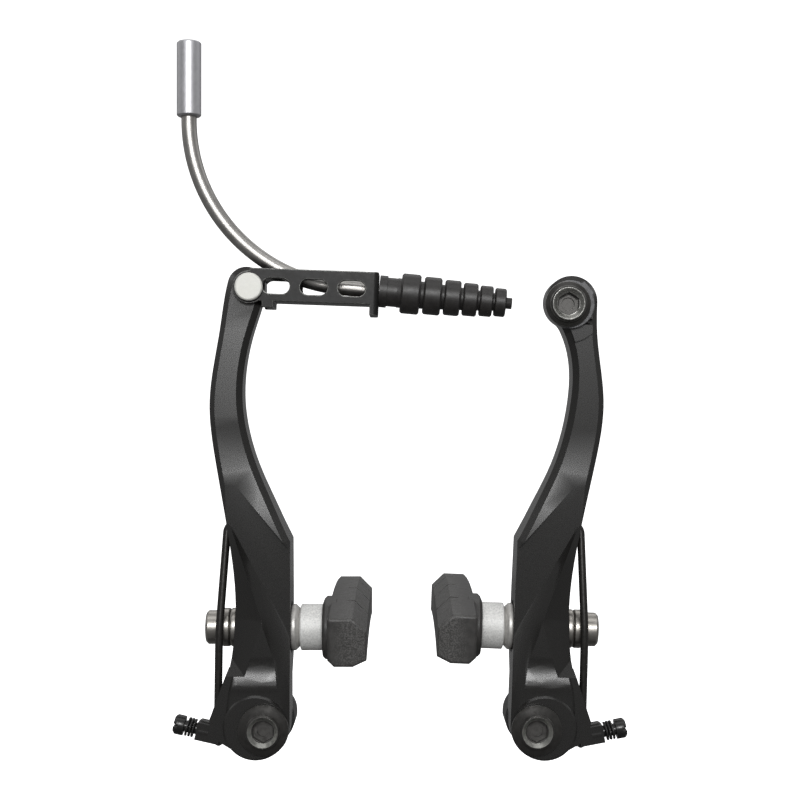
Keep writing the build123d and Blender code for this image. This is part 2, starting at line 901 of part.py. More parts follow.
with BuildPart() as brake_shoe:
    with BuildSketch(axle_plane(shoe_start)):
        with BuildLine():
            Polyline(
                (shoe_inner, shoe_low + shoe_lower_back),
                (shoe_inner, shoe_high - shoe_back_edge),
                (shoe_inner - shoe_back_edge, shoe_high),
                (shoe_face + shoe_chamfer, shoe_high),
                (shoe_face, shoe_high - shoe_chamfer),
                (shoe_face, shoe_low + shoe_lower_chamfer),
                (shoe_face + shoe_chamfer, shoe_low),
                (shoe_inner - shoe_lower_back, shoe_low),
                close=True,
            )
        make_face()
    revolve(axis=axle_line, revolution_arc=shoe_sweep)
    with BuildSketch(Plane.YZ.offset(shoe_inner - shoe_lower_back)):
        with Locations((0, post_up)):
            SlotOverall(shoe_boss_length, shoe_boss_height)
    extrude(amount=shoe_boss_thickness + shoe_lower_back)
    chamfer(brake_shoe.faces().sort_by(Axis.X)[-1].edges(), shoe_boss_edge)
    # Grooves cross the rubbing face and its upper chamfer at one depth
    groove_bend = shoe_high - shoe_chamfer - shoe_groove_depth * tan(radians(22.5))
    groove_floor = shoe_face + shoe_groove_depth
    groove_top = shoe_high + shoe_height
    for groove in range(shoe_groove_count):
        turn = shoe_start - shoe_sweep * (groove + 1) / (shoe_groove_count + 1)
        with BuildSketch(axle_plane(turn)):
            with BuildLine():
                Polyline(
                    (shoe_face - shoe_thickness, shoe_low - shoe_height),
                    (groove_floor, shoe_low - shoe_height),
                    (groove_floor, groove_bend),
                    (groove_floor + groove_top - groove_bend, groove_top),
                    (shoe_face - shoe_thickness, groove_top),
                    close=True,
                )
            make_face()
        extrude(amount=shoe_groove_width / 2, both=True, mode=Mode.SUBTRACT)
    add(post_solid(press_gap), mode=Mode.SUBTRACT)


# Link: a stamped cradle that straddles the left arm's head, open on top, with a keyhole at its end
link_half_gap = link_head_half + body_gap
link_half = link_half_gap + link_gauge
link_plane = Plane(
    (left_pivot - link_pin_out, 0, link_pin_up),
    x_dir=(cos(radians(link_droop)), 0, -sin(radians(link_droop))),
    z_dir=(0, -1, 0),
)
link_web_start = link_head_radius - link_head_shift + 2 * body_gap
keyhole_centre = link_plane.from_local_coords(Vector(link_length - link_gauge / 2, keyhole_rise, 0))
with BuildPart() as link:
    with BuildSketch(link_plane):
        Circle(link_end_radius)
        with BuildLine():
            Polyline(
                (0, -link_bottom),
                (link_stop_at, -link_bottom),
                (link_stop_at, -link_bottom - link_stop_drop),
                (link_stop_at + link_stop_length, -link_bottom - link_stop_drop),
                (link_stop_at + link_stop_length, -link_bottom),
                (link_length - link_foot_length, -link_bottom),
                (link_length - link_foot_length, -link_bottom - link_foot_drop),
                (link_length, -link_bottom - link_foot_drop),
                (link_length, link_top),
                (0, link_top),
                close=True,
            )
        make_face()
    extrude(amount=link_half, both=True)
    # The cheeks are folded round the end wall, so the outer corners there are round
    corners = link.edges().filter_by(Axis(link_plane.origin, link_plane.y_dir)).sort_by(Axis.X)[-2:]
    fillet(corners, link_gauge)
    with BuildSketch(link_plane):
        with BuildLine():
            Polyline(
                (-link_length, 2 * link_top),
                (link_length - link_gauge, 2 * link_top),
                (link_length - link_gauge, link_gauge - link_bottom),
                (link_web_start, link_gauge - link_bottom),
                (link_web_start, -4 * link_bottom),
                (-link_length, -4 * link_bottom),
                close=True,
            )
        make_face()
    extrude(amount=link_half_gap, both=True, mode=Mode.SUBTRACT)
    with BuildSketch(link_plane):
        Circle(link_pin_diameter / 2 + running_gap)
        for slot in range(link_slot_count):
            with Locations((link_slot_first + slot * link_slot_pitch, link_slot_rise)):
                SlotOverall(link_slot_length, link_slot_height)
    extrude(amount=2 * link_half, both=True, mode=Mode.SUBTRACT)
    with BuildSketch(Plane(keyhole_centre, x_dir=(0, 1, 0), z_dir=link_plane.x_dir)):
        Circle(keyhole_radius)
        with Locations((0, link_top / 2)):
            Rectangle(keyhole_slot, link_top)
    extrude(amount=link_gauge, both=True, mode=Mode.SUBTRACT)

# Link pin: a headed pin through both cheeks of the link and the arm's head
pin_reach = link_half + body_gap
pin_radius = link_pin_diameter / 2
pin_head_radius = link_pin_head_diameter / 2
pin_end = pin_reach + link_pin_head_height
link_pin = turned(
    along_pivot(link_pin_out, link_pin_up, 0),
    (-pin_end, 0),
    (-pin_end, pin_head_radius - link_edge),
    (-pin_end + link_edge, pin_head_radius),
    (-pin_reach, pin_head_radius),
    (-pin_reach, pin_radius),
    (pin_reach, pin_radius),
    (pin_reach, pin_head_radius),
    (pin_end - link_edge, pin_head_radius),
    (pin_end, pin_head_radius - link_edge),
    (pin_end, 0),
)


# Lead pipe: from the ferrule straight down, round the bend and through the link's keyhole
droop = radians(pipe_droop)
pipe_along = Vector(cos(droop), 0, -sin(droop))
pipe_up = Vector(sin(droop), 0, cos(droop))
bend_end = keyhole_centre - pipe_along * pipe_straight
bend_centre = bend_end + pipe_up * pipe_bend_radius
bend_start = bend_centre - Vector(pipe_bend_radius, 0, 0)
half_turn = radians(90 - pipe_droop) / 2
bend_middle = bend_centre - Vector(cos(half_turn), 0, sin(half_turn)) * pipe_bend_radius
pipe_top = bend_start + Vector(0, 0, ferrule_clear_of_bend + pipe_into_ferrule)
pipe_shoulder = keyhole_centre - pipe_along * pipe_shoulder_gap
nose_end = keyhole_centre + pipe_along * pipe_nose_length


def pipe_run(radius, end):
    """A round bar that follows the pipe's line from its top to an end on its straight run."""
    with BuildPart() as run:
        with BuildLine():
            Line(pipe_top, bend_start)
            ThreePointArc(bend_start, bend_middle, bend_end)
            Line(bend_end, end)
        with BuildSketch(Plane(pipe_top, z_dir=(0, 0, -1))):
            Circle(radius)
        sweep()
    return run.part


with BuildPart() as lead_pipe:
    add(pipe_run(pipe_diameter / 2, pipe_shoulder))
    fillet(lead_pipe.edges().sort_by(Axis.X)[-1], pipe_nose_round)
    add(pipe_run(pipe_nose_diameter / 2, nose_end))
    add(pipe_run(pipe_bore / 2, nose_end), mode=Mode.SUBTRACT)

with BuildPart() as pipe_liner:
    add(pipe_run(pipe_bore / 2 - press_gap, nose_end))
    add(pipe_run(liner_bore / 2, nose_end), mode=Mode.SUBTRACT)

ferrule_base = Plane(
    bend_start + Vector(0, 0, ferrule_clear_of_bend), x_dir=(0, 0, 1), z_dir=(0, -1, 0)
)
ferrule_radius = ferrule_diameter / 2
socket_radius = housing_diameter / 2 + housing_clearance
pipe_ferrule = turned(
    ferrule_base,
    (0, pipe_diameter / 2 + press_gap),
    (0, ferrule_radius - ferrule_edge),
    (ferrule_edge, ferrule_radius),
    (ferrule_length - ferrule_edge, ferrule_radius),
    (ferrule_length, ferrule_radius - ferrule_edge),
    (ferrule_length, socket_radius),
    (ferrule_length - housing_depth, socket_radius),
    (ferrule_length - housing_depth, liner_bore / 2),
    (pipe_into_ferrule + press_gap, liner_bore / 2),
    (pipe_into_ferrule + press_gap, pipe_diameter / 2 + press_gap),
)


# Boot: a rubber bellows on the pipe's nose, with ribs that shrink towards the tip
boot_axis = Plane(
    keyhole_centre + pipe_along * (link_gauge / 2 + boot_gap), x_dir=pipe_along, z_dir=(0, -1, 0)
)
nose_socket = pipe_nose_diameter / 2 + running_gap
nose_in_boot = pipe_nose_length - link_gauge / 2 - boot_gap + body_gap
boot_profile = [
    (0, nose_socket),
    (0, boot_collar_diameter / 2),
    (boot_collar_length, boot_collar_diameter / 2),
    (boot_collar_length, boot_neck_diameter / 2),
    (boot_collar_length + boot_neck_length, boot_neck_diameter / 2),
]
boot_at = boot_collar_length + boot_neck_length
for rib in range(boot_rib_count):
    share = rib / (boot_rib_count - 1)
    rib_length = boot_first_rib + (boot_last_rib - boot_first_rib) * share
    rib_radius = (boot_first_diameter + (boot_last_diameter - boot_first_diameter) * share) / 2
    groove = rib_length * boot_groove_share
    rib_edge = groove / 2
    boot_profile += [
        (boot_at, rib_radius - boot_groove_depth),
        (boot_at + groove, rib_radius - boot_groove_depth),
        (boot_at + groove, rib_radius - rib_edge),
        (boot_at + groove + rib_edge, rib_radius),
        (boot_at + rib_length - rib_edge, rib_radius),
        (boot_at + rib_length, rib_radius - rib_edge),
    ]
    boot_at += rib_length
boot_profile += [
    (boot_at, boot_tip_diameter / 2),
    (boot_at + boot_tip_length, boot_tip_diameter / 2),
    (boot_at + boot_tip_length, boot_bore / 2),
    (nose_in_boot, boot_bore / 2),
    (nose_in_boot, nose_socket),
]
boot = turned(boot_axis, *boot_profile)


# Cable anchor: a clamp washer with a bent tab, held by a flanged bolt
washer_middle = anchor_face.to_local_coords(anchor_face.origin + Vector(clamp_washer_shift, 0, 0))
with BuildPart() as cable_clamp_washer:
    with BuildSketch(anchor_face):
        with Locations(washer_middle):
            Circle(clamp_washer_diameter / 2)
        with Locations((clamp_tab_reach / 2, 0)):
            Rectangle(clamp_tab_reach, clamp_tab_width)
        Circle(fixing_thread_diameter / 2 + washer_bore_clearance, mode=Mode.SUBTRACT)
    extrude(amount=clamp_washer_thickness)
    with BuildSketch(anchor_face):
        with Locations((tab_middle, 0)):
            Rectangle(clamp_washer_thickness, clamp_tab_width)
    extrude(amount=-clamp_tab_length)

cable_anchor_bolt = flanged_bolt(
    along_pivot(anchor_out, anchor_up, -anchor_front - clamp_washer_thickness),
    fixing_thread_diameter,
    anchor_thread_length,
    (anchor_flange_diameter, anchor_flange_thickness),
    (anchor_head_diameter, anchor_head_height),
)


# Carry the pieces to their sides and write each one out
def on_side(piece, side):
    """Carry a piece from an arm's own frame to its place on one side of the wheel."""
    if side == "left":
        return piece.mirror(Plane.YZ).moved(Location((left_pivot, 0, 0)))
    return piece.moved(Location((-left_pivot, 0, 0), (0, right_arm_lean, 0)))


os.makedirs("parts", exist_ok=True)


def write(piece, name):
    """Label a piece and write it as its own file."""
    piece.label = name
    export_step(piece, f"parts/{name}.step")


pieces_of_each_side = {
    "pivot_bushing": pivot_bushing,
    "fixing_bolt": fixing_bolt,
    "spring_holder": spring_holder.part,
    "return_spring": return_spring.part,
    "tension_screw": tension_screw.part,
    "screw_spring": screw_spring.part,
    "inner_dome_washer": inner_dome_washer,
    "inner_cup_washer": inner_cup_washer,
    "outer_dome_washer": outer_dome_washer,
    "outer_cup_washer": outer_cup_washer,
    "shoe_post": shoe_post,
    "shoe_nut": shoe_nut.part,
    "brake_shoe": brake_shoe.part,
}
for side in ("left", "right"):
    write(on_side(arm_in_frame[side], side), f"{side}_arm")
    for name, piece in pieces_of_each_side.items():
        write(on_side(piece, side), f"{side}_{name}")

write(on_side(link_pin, "left"), "link_pin")
write(on_side(cable_clamp_washer.part, "right"), "cable_clamp_washer")
write(on_side(cable_anchor_bolt, "right"), "cable_anchor_bolt")
write(link.part, "link")
write(lead_pipe.part, "lead_pipe")
write(pipe_liner.part, "pipe_liner")
write(pipe_ferrule, "pipe_ferrule")
write(boot, "boot")
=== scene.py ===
import json
from math import pi, radians, sin

import bmesh
import bpy
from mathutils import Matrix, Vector

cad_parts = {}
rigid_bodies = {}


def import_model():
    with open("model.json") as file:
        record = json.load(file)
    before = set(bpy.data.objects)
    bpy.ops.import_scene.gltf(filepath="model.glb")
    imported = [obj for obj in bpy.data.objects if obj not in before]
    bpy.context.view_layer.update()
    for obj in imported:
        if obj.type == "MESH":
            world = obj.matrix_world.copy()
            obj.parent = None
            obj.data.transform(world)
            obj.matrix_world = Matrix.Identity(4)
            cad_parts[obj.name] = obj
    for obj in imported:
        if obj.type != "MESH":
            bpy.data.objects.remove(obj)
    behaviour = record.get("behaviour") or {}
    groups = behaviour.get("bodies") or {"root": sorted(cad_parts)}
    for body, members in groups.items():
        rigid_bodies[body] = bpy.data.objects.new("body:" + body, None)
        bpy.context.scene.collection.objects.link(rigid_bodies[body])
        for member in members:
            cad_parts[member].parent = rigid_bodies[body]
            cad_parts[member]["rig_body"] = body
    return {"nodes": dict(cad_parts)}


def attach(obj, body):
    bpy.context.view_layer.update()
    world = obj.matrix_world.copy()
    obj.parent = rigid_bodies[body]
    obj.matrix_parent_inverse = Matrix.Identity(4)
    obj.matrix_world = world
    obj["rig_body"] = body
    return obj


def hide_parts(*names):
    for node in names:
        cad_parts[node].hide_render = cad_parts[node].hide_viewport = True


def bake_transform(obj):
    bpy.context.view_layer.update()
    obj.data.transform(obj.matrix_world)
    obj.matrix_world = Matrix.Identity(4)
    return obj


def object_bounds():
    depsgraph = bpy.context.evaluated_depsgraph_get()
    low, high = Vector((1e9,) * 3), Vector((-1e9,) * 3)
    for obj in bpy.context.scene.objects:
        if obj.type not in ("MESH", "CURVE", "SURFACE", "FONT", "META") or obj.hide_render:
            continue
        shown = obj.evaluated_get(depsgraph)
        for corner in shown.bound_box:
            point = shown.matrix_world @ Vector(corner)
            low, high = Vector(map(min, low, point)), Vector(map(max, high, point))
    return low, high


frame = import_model()
cad_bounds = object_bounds()

MM = 0.001
WHITE = (1, 1, 1, 1)

# Copies of the CAD meshes: corners this near are merged, and faces this flat to each other are joined
MERGE_WITHIN = 0.002 * MM
FLAT_WITHIN = radians(0.3)

# Edges sharper than the first angle are rounded, and edges blunter than the second are shaded smooth
SHARP_ANGLE = radians(28)
SMOOTH_ANGLE = radians(32)
SOFT_EDGE_CUTS = 2

# A face looks along an axis where this much of its unit normal lies on that axis
ALONG_AXIS = 0.9

# The ramp above each arm's boss: how far its normal leans up and sideways, its heights and its depth
RAMP_LEAN = (0.02, 0.3)
RAMP_SIDEWAYS = 0.02
RAMP_SPAN = (8.7 * MM, 18 * MM)
RAMP_DEPTH = 2 * MM

# How the ramp is bent: the pieces it is cut into, the share of its height where it is steepest, the swing
RAMP_PIECES = 12
RAMP_STEEPEST = 0.45
RAMP_SWING = 0.26 * MM

# The shoes' end faces lie this near their ends, and the rims of those faces get this rounding
END_REACH = 3 * MM
END_ROUNDING = 0.85 * MM
END_CUTS = 4

# The face of the boot's collar lies this near the boot's end, and is drawn out by this much
COLLAR_REACH = 1 * MM
COLLAR_STRETCH = 0.42 * MM

# Bolt sockets: how far their mouths lean forwards and inwards, and how far from the axis their floors go
MOUTH_LEAN = 0.5
SOCKET_HALF = 2.6 * MM

# Speckles: their roughness, and the noise levels at which a finish is at its darkest and its lightest
SPECKLE_ROUGHNESS = 0.6
DARKEST, LIGHTEST = 0.3, 0.7

# Fine grain in a surface: how much finer it is than the colour's speckle, and its depth
GRAIN_FINER = 4
GRAIN_DEPTH = 0.05 * MM

# Shoes are rubbed this near the wheel's plane, and the rubbing fades out over this further width
RUBBED_WITHIN = 13 * MM
RUBBED_FADE = 4 * MM

# The crumbs of rubbed rubber: how much finer they are than the speckle, the noise levels where they
# start and are full, and the strength and depth of their relief
CRUMBS_FINER = 5
CRUMBS_START, CRUMBS_FULL = 0.45, 0.6
CRUMBS_STRENGTH = 0.25
CRUMBS_DEPTH = 0.08 * MM

# A mix node's sockets for colours, by number because its other kinds have sockets of the same names
MIX_FRESH, MIX_RUBBED, MIX_RESULT = 6, 7, 2


# Shader helpers
def shader(name, color, roughness, metallic=0.0):
    """A new material and its main shader node, with the plain numbers set on the sockets."""
    material = bpy.data.materials.new(name)
    material.use_nodes = True
    main = material.node_tree.nodes["Principled BSDF"]
    main.inputs["Base Color"].default_value = (*color, 1.0)
    main.inputs["Roughness"].default_value = roughness
    main.inputs["Metallic"].default_value = metallic
    return material, main


def node(material, kind, **values):
    """Add one node to a material or world; values set its properties, or its input sockets by name."""
    made = material.node_tree.nodes.new(kind)
    for key, value in values.items():
        if hasattr(made, key):
            setattr(made, key, value)
        else:
            made.inputs[key].default_value = value
    return made


def connect(material, source, output, target, socket):
    """Feed a socket of one node from an output of another."""
    material.node_tree.links.new(source.outputs[output], target.inputs[socket])


def speckle(material, scale, detail=4.0):
    """Noise on the piece's own coordinates, the start of every grain here."""
    where = node(material, "ShaderNodeTexCoord")
    noise = node(
        material, "ShaderNodeTexNoise", Scale=scale, Detail=detail, Roughness=SPECKLE_ROUGHNESS
    )
    connect(material, where, "Object", noise, "Vector")
    return noise


def shades(material, noise, *stops):
    """Shades between two stops of a noise; a stop is (noise level, grey level or colour)."""
    made = node(material, "ShaderNodeValToRGB")
    for element, (place, level) in zip(made.color_ramp.elements, stops):
        element.position = place
        element.color = (*level, 1.0) if isinstance(level, tuple) else (level, level, level, 1.0)
    connect(material, noise, "Fac", made, "Fac")
    return made


def grain(material, main, source, output, strength, depth):
    """Bump the main shader by a grain."""
    bump = node(material, "ShaderNodeBump", Strength=strength, Distance=depth)
    connect(material, source, output, bump, "Height")
    connect(material, bump, "Normal", main, "Normal")


def mottled(name, dark, light, scale, rough, metallic=0.0, specular=0.5, bump=0.1, bump_scale=None):
    """A finish whose colour and gloss vary a little, with a fine grain in its surface."""
    material, main = shader(name, light, sum(rough) / 2, metallic)
    main.inputs["Specular IOR Level"].default_value = specular
    noise = speckle(material, scale)
    tint = shades(material, noise, (DARKEST, dark), (LIGHTEST, light))
    connect(material, tint, "Color", main, "Base Color")
    gloss = shades(material, noise, (DARKEST, rough[0]), (LIGHTEST, rough[1]))
    connect(material, gloss, "Color", main, "Roughness")
    fine = speckle(material, bump_scale or scale * GRAIN_FINER, detail=3.0)
    grain(material, main, fine, "Fac", bump, GRAIN_DEPTH)
    return material


def near_wheel(material):
    """A node that gives 1 near the wheel's plane and fades to 0 away from it, on either side."""
    where = node(material, "ShaderNodeTexCoord")
    axes = node(material, "ShaderNodeSeparateXYZ")
    connect(material, where, "Object", axes, "Vector")
    aside = node(material, "ShaderNodeMath", operation="ABSOLUTE")
    connect(material, axes, "X", aside, 0)
    nearness = node(material, "ShaderNodeMapRange")
    nearness.inputs["From Min"].default_value = RUBBED_WITHIN + RUBBED_FADE
    nearness.inputs["From Max"].default_value = RUBBED_WITHIN
    connect(material, aside, "Value", nearness, "Value")
    return nearness


def scuffed(name, dark, light, rubbed, scale, rough):
    """Rubber with paler, raised crumbs towards the wheel, where the rim rubs it."""
    material, main = shader(name, light, sum(rough) / 2)
    noise = speckle(material, scale)
    fresh = shades(material, noise, (DARKEST, dark), (LIGHTEST, light))
    crumbs = speckle(material, scale * CRUMBS_FINER, detail=2.0)
    patch = node(material, "ShaderNodeMath", operation="MULTIPLY")
    crumb_edge = shades(material, crumbs, (CRUMBS_START, 0.0), (CRUMBS_FULL, 1.0))
    connect(material, crumb_edge, "Color", patch, 0)
    connect(material, near_wheel(material), "Result", patch, 1)
    tint = node(material, "ShaderNodeMix", data_type="RGBA")
    connect(material, patch, "Value", tint, "Factor")
    connect(material, fresh, "Color", tint, MIX_FRESH)
    tint.inputs[MIX_RUBBED].default_value = (*rubbed, 1.0)
    connect(material, tint, MIX_RESULT, main, "Base Color")
    gloss = shades(material, noise, (DARKEST, rough[0]), (LIGHTEST, rough[1]))
    connect(material, gloss, "Color", main, "Roughness")
    relief = node(material, "ShaderNodeMath", operation="ADD")
    connect(material, patch, "Value", relief, 0)
    connect(material, speckle(material, scale * GRAIN_FINER, detail=3.0), "Fac", relief, 1)
    grain(material, main, relief, "Value", CRUMBS_STRENGTH, CRUMBS_DEPTH)
    return material


# Finishes of the arms
arm_paint = mottled(
    "forged_arm_paint",
    dark=(0.0122, 0.0117, 0.0112),
    light=(0.0146, 0.014, 0.0134),
    scale=2200,
    rough=(0.26, 0.29),
    bump=0.006,
    bump_scale=3000,
)
# Paler colour of the arms' rounded edges: partly wear, partly a painted highlight along the crest lines
arm_edge_wear_and_highlight = mottled(
    "rubbed_and_highlit_arm_edge",
    dark=(0.028, 0.028, 0.027),
    light=(0.062, 0.061, 0.060),
    scale=1400,
    rough=(0.22, 0.30),
)
bushing_steel = mottled(
    "bushing_steel",
    dark=(0.45, 0.45, 0.44),
    light=(0.56, 0.56, 0.55),
    scale=900,
    rough=(0.3, 0.4),
    metallic=1.0,
)
holder_resin = mottled(
    "holder_resin",
    dark=(0.012, 0.012, 0.013),
    light=(0.020, 0.020, 0.021),
    scale=800,
    rough=(0.4, 0.5),
)
spring_coat = mottled(
    "spring_coat",
    dark=(0.014, 0.013, 0.012),
    light=(0.026, 0.024, 0.022),
    scale=1100,
    rough=(0.26, 0.34),
    metallic=0.4,
)

# Finishes of the link and what it carries
link_paint = mottled(
    "link_paint",
    dark=(0.006, 0.006, 0.006),
    light=(0.013, 0.0125, 0.012),
    scale=900,
    rough=(0.40, 0.52),
    specular=0.3,
    bump=0.25,
    bump_scale=2500,
)
# Paler colour of the link's rounded edges and slot lips: partly wear, partly a painted highlight
worn_edge = mottled(
    "worn_link_edge",
    dark=(0.05, 0.05, 0.048),
    light=(0.16, 0.16, 0.154),
    scale=1500,
    rough=(0.3, 0.42),
    metallic=0.8,
)
pin_nickel = mottled(
    "pin_nickel",
    dark=(0.66, 0.66, 0.62),
    light=(0.74, 0.74, 0.70),
    scale=700,
    rough=(0.5, 0.6),
    metallic=0.2,
    bump=0.05,
)
pipe_steel = mottled(
    "polished_pipe",
    dark=(0.34, 0.33, 0.315),
    light=(0.42, 0.41, 0.395),
    scale=500,
    rough=(0.38, 0.44),
    metallic=1.0,
    bump=0.03,
)
ferrule_alloy = mottled(
    "ferrule_alloy",
    dark=(0.50, 0.50, 0.52),
    light=(0.58, 0.58, 0.60),
    scale=900,
    rough=(0.44, 0.52),
    metallic=1.0,
    bump=0.06,
)
liner_plastic = mottled(
    "liner_plastic",
    dark=(0.7, 0.7, 0.68),
    light=(0.8, 0.8, 0.78),
    scale=600,
    rough=(0.4, 0.5),
)
boot_rubber = mottled(
    "boot_rubber",
    dark=(0.014, 0.0126, 0.0122),
    light=(0.022, 0.0202, 0.0193),
    scale=700,
    rough=(0.40, 0.50),
    bump=0.15,
    bump_scale=3000,
)

# Finishes of the bolts and screws
black_oxide = mottled(
    "black_oxide",
    dark=(0.030, 0.029, 0.027),
    light=(0.046, 0.044, 0.042),
    scale=700,
    rough=(0.30, 0.38),
    metallic=0.5,
    bump=0.04,
)
# Paler colour of the bolts' rounded edges and socket mouths: partly wear, partly a painted highlight
oxide_edge_wear_and_highlight = mottled(
    "rubbed_and_highlit_oxide_edge",
    dark=(0.20, 0.20, 0.19),
    light=(0.36, 0.36, 0.34),
    scale=1200,
    rough=(0.30, 0.40),
    metallic=0.9,
    bump=0.04,
)
# Paler colour of the bolt sockets' floors: a painted highlight in the recess
socket_floor_highlight = mottled(
    "socket_floor_highlight",
    dark=(0.06, 0.058, 0.055),
    light=(0.10, 0.097, 0.093),
    scale=900,
    rough=(0.4, 0.5),
    metallic=0.6,
    bump=0.06,
)
screw_black = mottled(
    "screw_black",
    dark=(0.014, 0.014, 0.014),
    light=(0.026, 0.026, 0.025),
    scale=900,
    rough=(0.22, 0.32),
    metallic=0.4,
    bump=0.06,
)
clamp_steel = mottled(
    "clamp_steel",
    dark=(0.05, 0.05, 0.052),
    light=(0.09, 0.09, 0.093),
    scale=900,
    rough=(0.32, 0.42),
    metallic=0.7,
)

# Finishes of the shoes, their posts and washers
shoe_rubber = scuffed(
    "shoe_rubber",
    dark=(0.030, 0.029, 0.028),
    light=(0.050, 0.048, 0.046),
    rubbed=(0.10, 0.098, 0.095),
    scale=600,
    rough=(0.42, 0.56),
)
zinc_grain = mottled(
    "zinc_grain",
    dark=(0.54, 0.54, 0.53),
    light=(0.88, 0.88, 0.86),
    scale=2400,
    rough=(0.5, 0.66),
    metallic=0.25,
    bump=0.6,
)
cup_zinc = mottled(
    "cup_zinc",
    dark=(0.46, 0.45, 0.43),
    light=(0.60, 0.59, 0.57),
    scale=1500,
    rough=(0.40, 0.50),
    metallic=0.6,
    bump=0.15,
)
bright_zinc = mottled(
    "bright_zinc",
    dark=(0.32, 0.305, 0.28),
    light=(0.42, 0.405, 0.38),
    scale=500,
    rough=(0.30, 0.36),
    metallic=1.0,
    bump=0.03,
)


# Changes of shape, made in edit mode on the copies
def pick_ramp(arm):
    """Select the ramp above an arm's boss, and give the mesh, whose corners are then selected too."""
    mesh = bmesh.from_edit_mesh(arm.data)
    front = min(corner.co.y for corner in mesh.verts)
    for face in mesh.faces:
        middle = face.calc_center_median()
        leans_up = RAMP_LEAN[0] < face.normal.z < RAMP_LEAN[1]
        straight = abs(face.normal.x) < RAMP_SIDEWAYS
        in_place = middle.y < front + RAMP_DEPTH and middle.z < RAMP_SPAN[1]
        face.select_set(leans_up and straight and in_place)
    bmesh.update_edit_mesh(arm.data)
    return mesh


def bend_ramp(arm):
    """Cut the ramp above an arm's boss into pieces and bend it into a soft S, steepest near the boss."""
    bpy.ops.mesh.select_mode(type="FACE")
    low, high = RAMP_SPAN
    for cut in range(1, RAMP_PIECES):
        pick_ramp(arm)
        height = low + (high - low) * cut / RAMP_PIECES
        bpy.ops.mesh.bisect(plane_co=(0, 0, height), plane_no=(0, 0, 1))
    mesh = pick_ramp(arm)
    for corner in mesh.verts:
        share = (corner.co.z - low) / (high - low)
        if corner.select and 0 < share < 1:
            swing = sin(2 * pi * (share - RAMP_STEEPEST)) + sin(2 * pi * RAMP_STEEPEST)
            corner.co.y += RAMP_SWING * swing
    bmesh.update_edit_mesh(arm.data)


def seat_boot(boot):
    """Stretch the boot's collar until it all but meets the link."""
    link_end = min(corner[0] for corner in boot.bound_box)
    mesh = bmesh.from_edit_mesh(boot.data)
    collar = [
        face
        for face in mesh.faces
        if face.normal.x < -ALONG_AXIS and face.calc_center_median().x < link_end + COLLAR_REACH
    ]
    along = collar[0].normal.copy()
    for corner in {corner for face in collar for corner in face.verts}:
        corner.co += COLLAR_STRETCH * along
    bmesh.update_edit_mesh(boot.data)


def round_ends(shoe):
    """Round the rims of a shoe's two end faces, which look forwards and back."""
    front = min(corner[1] for corner in shoe.bound_box)
    rear = max(corner[1] for corner in shoe.bound_box)
    bpy.ops.mesh.select_all(action="DESELECT")
    bpy.ops.mesh.select_mode(type="EDGE")
    mesh = bmesh.from_edit_mesh(shoe.data)
    for face in mesh.faces:
        depth = face.calc_center_median().y
        if abs(face.normal.y) > ALONG_AXIS and min(depth - front, rear - depth) < END_REACH:
            for edge in face.edges:
                edge.select_set(edge.calc_face_angle(0) > SHARP_ANGLE)
    bmesh.update_edit_mesh(shoe.data)
    bpy.ops.mesh.bevel(offset=END_ROUNDING, segments=END_CUTS, affect="EDGES", clamp_overlap=True)


# Finished copies that stand for the CAD nodes
def soften(copy, width, worn, clamped):
    """Round the sharp edges of a copy by a width; given an edge finish, they take it: a paler colour that
    is partly wear and partly painted highlight.
    """
    rounding = copy.modifiers.new("soft_edge", "BEVEL")
    rounding.width = width
    rounding.segments = SOFT_EDGE_CUTS
    rounding.limit_method = "ANGLE"
    rounding.angle_limit = SHARP_ANGLE
    rounding.use_clamp_overlap = clamped
    if worn:
        rounding.material = 1
    bpy.ops.object.modifier_apply(modifier=rounding.name)


def even_out(copy):
    """Shade a copy smooth between its sharp edges, with flat faces kept flat."""
    bpy.ops.object.shade_smooth_by_angle(angle=SMOOTH_ANGLE)
    even = copy.modifiers.new("even_shading", "WEIGHTED_NORMAL")
    even.keep_sharp = True
    bpy.ops.object.modifier_apply(modifier=even.name)


def finished(name, finish, soft_edge=0, worn=None, reshape=None, clamped=True):
    """A merged copy of a CAD node that stands for it, with edges rounded by soft_edge mm.

    The edge finish, paler for wear and painted highlight, goes on the rounded edges, and reshape is a
    change of shape in edit mode. The rounding is narrower where edges crowd each other, unless clamped is
    off."""
    copy = bpy.data.objects.new(f"{name}_finished", frame["nodes"][name].data.copy())
    bpy.context.scene.collection.objects.link(copy)
    bpy.ops.object.select_all(action="DESELECT")
    copy.select_set(True)
    bpy.context.view_layer.objects.active = copy
    bpy.ops.object.mode_set(mode="EDIT")
    bpy.ops.mesh.select_all(action="SELECT")
    bpy.ops.mesh.remove_doubles(threshold=MERGE_WITHIN)
    bpy.ops.mesh.dissolve_limited(angle_limit=FLAT_WITHIN)
    if reshape:
        reshape(copy)
    bpy.ops.object.mode_set(mode="OBJECT")
    copy.data.materials.clear()
    copy.data.materials.append(finish)
    if worn:
        copy.data.materials.append(worn)
    if soft_edge:
        soften(copy, soft_edge * MM, worn, clamped)
    even_out(copy)
    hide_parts(name)
    return copy


def dress(name, finish, **looks):
    """A finished copy that rides on the body of its CAD node."""
    copy = finished(name, finish, **looks)
    body = frame["nodes"][name]["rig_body"]
    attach(copy, body)
    return copy


